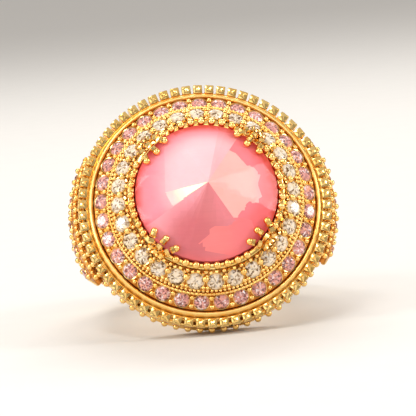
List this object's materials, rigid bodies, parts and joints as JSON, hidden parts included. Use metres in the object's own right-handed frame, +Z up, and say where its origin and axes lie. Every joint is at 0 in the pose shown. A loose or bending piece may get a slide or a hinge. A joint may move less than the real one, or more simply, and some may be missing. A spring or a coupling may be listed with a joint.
{
  "type": "cocktail ring",
  "caption": "Large round cocktail ring: a pointed pink stone in a claw-set cup on a stone-set dome, with a fence of square studs, on a finger band with wide stone-set shoulders.",
  "frame": {"origin": "centre of the bounding box's base, on the surface that the ring lies on", "axes": "+Z up from the table; the finger hole leans from +Z towards +Y; the head faces -Y and a little up; +X to the right as the head is looked at"},
  "size_m": [0.0232, 0.0266, 0.0206],
  "materials": {
    "gold": "polished yellow gold with darker recesses",
    "centre_stone": "cut pink stone",
    "pink_stones": "small cut pale pink stones",
    "clear_stones": "small cut clear stones"
  },
  "bodies": {
    "root": {"base_plate": "gold", "base_wire": "gold", "bead_wire": "gold", "centre_stone": "centre_stone", "claw_lower_left": "gold", "claw_lower_right": "gold", "claw_upper_left": "gold", "claw_upper_right": "gold", "clear_stone_01": "clear_stones", "clear_stone_02": "clear_stones", "clear_stone_03": "clear_stones", "clear_stone_04": "clear_stones", "clear_stone_05": "clear_stones", "clear_stone_06": "clear_stones", "clear_stone_07": "clear_stones", "clear_stone_08": "clear_stones", "clear_stone_09": "clear_stones", "clear_stone_10": "clear_stones", "clear_stone_11": "clear_stones", "clear_stone_12": "clear_stones", "clear_stone_13": "clear_stones", "clear_stone_14": "clear_stones", "clear_stone_15": "clear_stones", "clear_stone_16": "clear_stones", "clear_stone_17": "clear_stones", "clear_stone_18": "clear_stones", "clear_stone_19": "clear_stones", "clear_stone_20": "clear_stones", "clear_stone_21": "clear_stones", "clear_stone_22": "clear_stones", "clear_stone_23": "clear_stones", "clear_stone_24": "clear_stones", "clear_stone_25": "clear_stones", "clear_stone_26": "clear_stones", "clear_stone_27": "clear_stones", "clear_stone_28": "clear_stones", "finger_band": "gold", "grain_wire": "gold", "left_shoulder_plate": "gold", "left_shoulder_stone_01": "pink_stones", "left_shoulder_stone_02": "pink_stones", "left_shoulder_stone_03": "pink_stones", "left_shoulder_stone_04": "pink_stones", "left_shoulder_stone_05": "pink_stones", "left_shoulder_stone_06": "pink_stones", "left_shoulder_stone_07": "pink_stones", "pave_dome": "gold", "pierced_gallery": "gold", "pink_stone_row": "pink_stones", "polished_rim": "gold", "right_shoulder_plate": "gold", "right_shoulder_stone_01": "pink_stones", "right_shoulder_stone_02": "pink_stones", "right_shoulder_stone_03": "pink_stones", "right_shoulder_stone_04": "pink_stones", "right_shoulder_stone_05": "pink_stones", "right_shoulder_stone_06": "pink_stones", "right_shoulder_stone_07": "pink_stones", "stone_cup": "gold", "stud_fence": "gold"}
  },
  "joints": []
}
